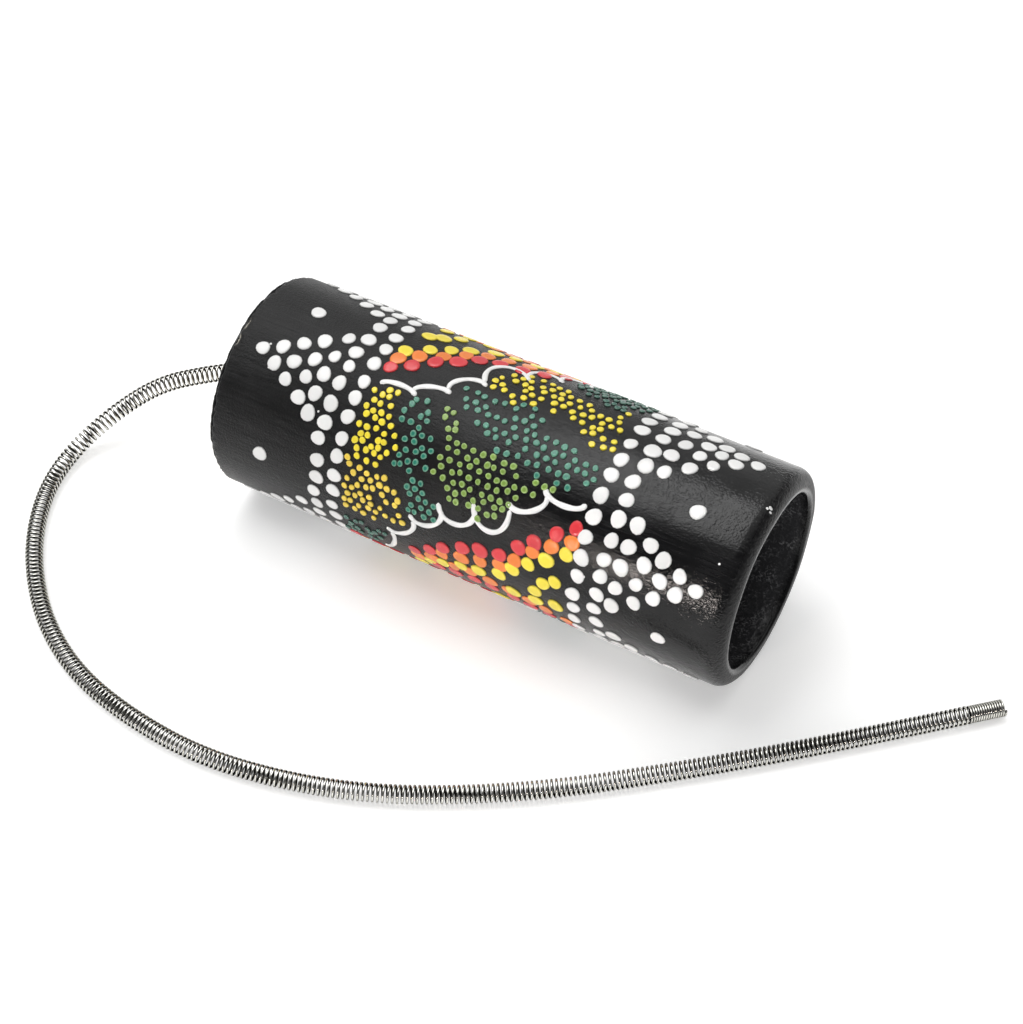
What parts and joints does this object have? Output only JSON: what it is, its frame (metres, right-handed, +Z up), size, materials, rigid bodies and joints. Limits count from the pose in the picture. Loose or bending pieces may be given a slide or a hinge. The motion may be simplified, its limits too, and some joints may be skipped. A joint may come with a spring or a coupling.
{
  "type": "thunder tube",
  "caption": "Hand-held bamboo tube with an open mouth, a skin glued over its rear end and a long thin wire spring hung from the skin, which makes a rolling thunder sound when shaken.",
  "frame": {"origin": "on the floor under the middle of the body, measured from the patch on the skin to the mouth", "axes": "+X along the tube towards its open mouth, +Z up; the tube lies on its side and the spring lies round its -Y side"},
  "size_m": [0.313, 0.1553, 0.07],
  "materials": {
    "painted_bamboo": "satin",
    "dried_glue": "satin",
    "rawhide": "satin",
    "patch_leather": "matte",
    "washer_steel": "satin",
    "pin_steel": "satin",
    "spring_steel": "satin",
    "dot_paint": "gloss"
  },
  "bodies": {
    "tube": {"tube_shell": "painted_bamboo", "glue_ring": "dried_glue", "skin": "rawhide"},
    "head_centre": {"skin_patch": "patch_leather", "anchor_washer": "washer_steel", "anchor_pin": "pin_steel"},
    "spring": {"spring": "spring_steel"}
  },
  "joints": [
    {"name": "head_flex", "type": "slide", "parent": "tube", "child": "head_centre", "axis": [1, 0, 0], "range_m": [-0.0015, 0.0015], "stiffness_N_per_m": 600, "deforming": ["skin"]},
    {"name": "spring_sway", "type": "hinge", "parent": "head_centre", "child": "spring", "pos_m": [-0.08728, 0, 0.035], "axis": [0, 0, 1], "range_deg": [-18, 8]}
  ]
}
